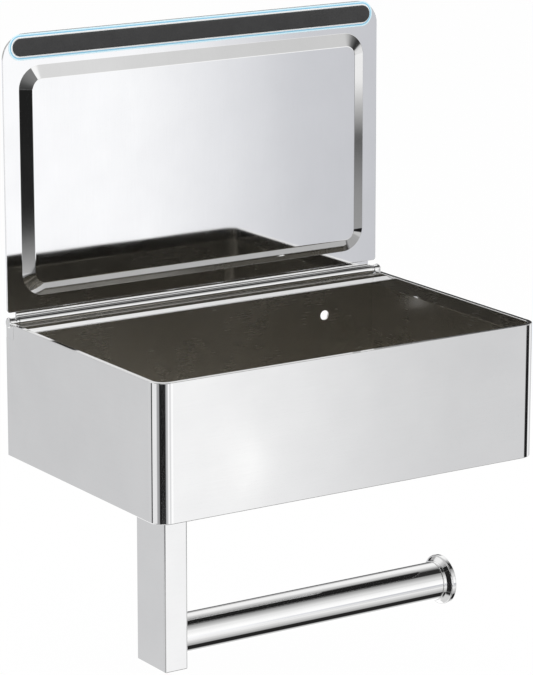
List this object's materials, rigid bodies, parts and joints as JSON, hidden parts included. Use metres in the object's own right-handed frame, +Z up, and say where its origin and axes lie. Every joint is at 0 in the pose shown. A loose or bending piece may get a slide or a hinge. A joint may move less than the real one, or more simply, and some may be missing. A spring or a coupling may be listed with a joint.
{
  "type": "toilet paper holder",
  "caption": "Wall-hung toilet paper holder of polished steel: a hinged-lid box for wipes above, and a post carrying a round roll bar with an end flange below.",
  "frame": {"origin": "midway between the two wall screw holes, on the wall plane", "axes": "+X left to right seen from the front, +Y into the wall, +Z up"},
  "size_m": [0.212, 0.1365, 0.2824],
  "materials": {
    "polished_steel": "mirror-polished stainless steel",
    "plain_steel": "turned and plated steel",
    "foam": "closed-cell foam, matt",
    "adhesive_film": "pale blue film",
    "end_plug": "moulded, matt"
  },
  "bodies": {
    "box": {"box_shell": "polished_steel", "box_floor": "polished_steel", "back_panel": "polished_steel", "rear_strip": "polished_steel", "hinge_ear_left": "polished_steel", "hinge_ear_right": "polished_steel", "hinge_pin": "polished_steel", "hinge_washers": "polished_steel", "arm_post": "polished_steel", "post_mount_block": "plain_steel", "post_screws": "plain_steel", "post_washers": "plain_steel", "post_end_plug": "end_plug", "roll_bar": "polished_steel", "bar_root_plug": "plain_steel", "bar_washer": "plain_steel", "bar_bolt": "plain_steel", "bar_end_insert": "plain_steel", "bar_end_cap": "polished_steel"},
    "lid": {"lid_panel": "polished_steel", "silencer_pad": "foam", "pad_film": "adhesive_film"}
  },
  "joints": [
    {"name": "lid_hinge", "type": "hinge", "parent": "box", "child": "lid", "pos_m": [0, -0.00341, 0.0206], "axis": [1, 0, 0], "range_deg": [0, 90.3]}
  ]
}
